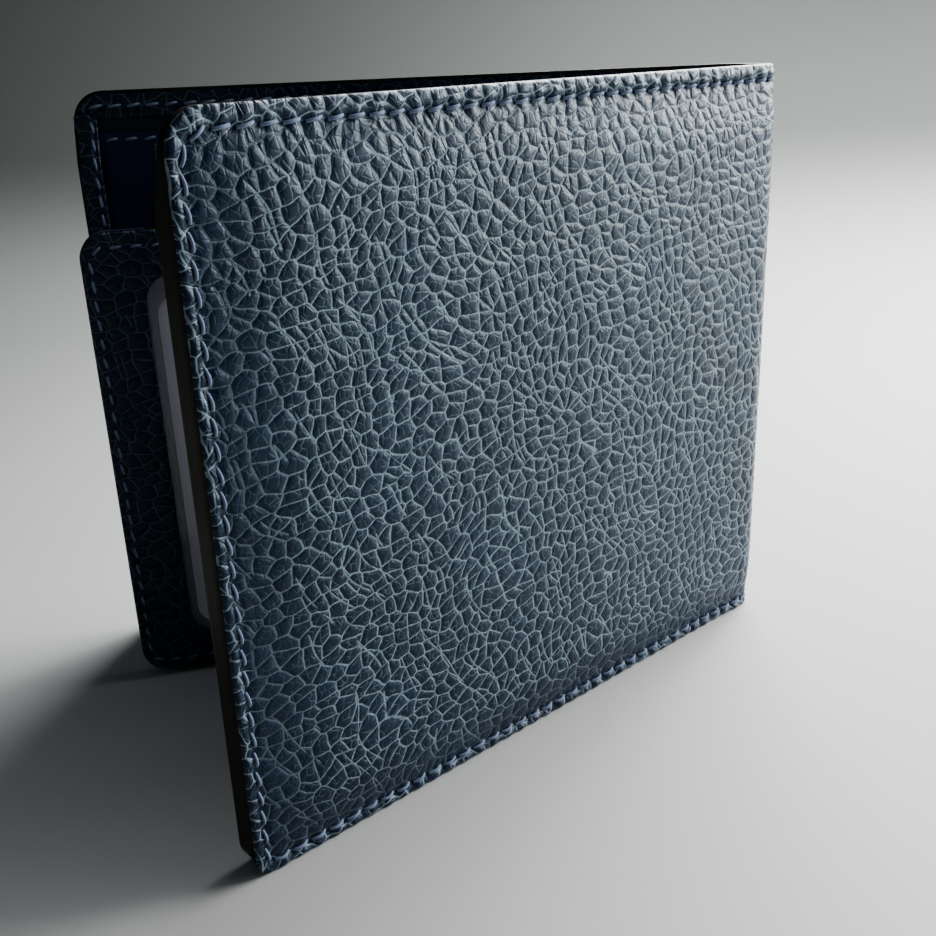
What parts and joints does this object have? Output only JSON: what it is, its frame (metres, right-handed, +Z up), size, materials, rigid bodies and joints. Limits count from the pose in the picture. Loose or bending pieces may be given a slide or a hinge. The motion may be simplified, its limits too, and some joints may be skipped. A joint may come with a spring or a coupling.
{
  "type": "bifold wallet with centre leaf",
  "caption": "Pebbled leather folding wallet standing open on its edges, with stitched covers, stepped card slots and a hinged centre leaf holding a window card.",
  "frame": {"origin": "on the surface that the wallet stands on, at the middle of its bounding box's bottom", "axes": "+Z up along the spine; the front cover is parallel to XZ and its outside faces -Y; the spine is at +X and the free edges are towards -X"},
  "size_m": [0.1052, 0.0704, 0.09],
  "materials": {
    "grain_leather": "navy pebbled grain, satin, with painted dark brown cut edges",
    "smooth_leather": "smooth dark navy, satin",
    "lining": "fine twill, matt",
    "board": "raw pulp board",
    "thread": "twisted polyester thread, slight sheen",
    "clear_film": "clear glossy film",
    "card": "blank pale card, satin"
  },
  "bodies": {
    "back_cover": {"back_shell_leather": "grain_leather", "back_stiffener_board": "board", "back_shell_lining": "lining", "back_top_facing": "grain_leather", "back_panel_backing": "smooth_leather", "back_card_pocket_1": "smooth_leather", "back_card_pocket_2": "smooth_leather", "back_card_pocket_3": "smooth_leather", "back_edge_binding": "grain_leather", "back_outside_seam_thread": "thread", "back_facing_seam_thread": "thread", "back_binding_seam_thread": "thread"},
    "spine": {"spine_leather": "grain_leather", "spine_lining": "lining", "spine_top_facing": "grain_leather", "spine_front_bend": "grain_leather", "spine_back_bend": "grain_leather"},
    "front_cover": {"front_shell_leather": "grain_leather", "front_stiffener_board": "board", "front_shell_lining": "lining", "front_top_facing": "grain_leather", "front_panel_backing": "smooth_leather", "front_card_pocket_1": "smooth_leather", "front_card_pocket_2": "smooth_leather", "front_card_pocket_3": "smooth_leather", "front_edge_binding": "grain_leather", "front_outside_seam_thread": "thread", "front_facing_seam_thread": "thread", "front_binding_seam_thread": "thread"},
    "id_leaf": {"leaf_window_frame": "grain_leather", "leaf_window_film": "clear_film", "leaf_core_board": "board", "leaf_backing": "smooth_leather", "leaf_back_pocket": "smooth_leather", "leaf_seam_thread": "thread", "leaf_fold_strip": "smooth_leather"},
    "id_card": {"id_card": "card"}
  },
  "joints": [
    {"name": "spine_fold_back", "type": "hinge", "parent": "back_cover", "child": "spine", "pos_m": [0.05184, -0.02331, 0], "axis": [0, 0, 1], "range_deg": [-17.5, 72.5], "deforming": ["spine_back_bend"]},
    {"name": "spine_fold_front", "type": "hinge", "parent": "spine", "child": "front_cover", "pos_m": [0.04854, -0.03378, 0], "axis": [0, 0, 1], "range_deg": [-17.5, 72.5], "deforming": ["spine_front_bend"]},
    {"name": "id_leaf_fold", "type": "hinge", "parent": "back_cover", "child": "id_leaf", "pos_m": [0.04573, -0.02342, 0], "axis": [0, 0, 1], "range_deg": [-6.6, 27.35], "deforming": ["leaf_fold_strip"]},
    {"name": "id_card_slide", "type": "slide", "parent": "id_leaf", "child": "id_card", "axis": [0, 0, 1], "range_m": [0, 0.045]}
  ],
  "couplings": [
    {"joint": "spine_fold_front", "follows": "spine_fold_back", "ratio": 1},
    {"joint": "id_leaf_fold", "follows": "spine_fold_back", "ratio": 0.377}
  ]
}
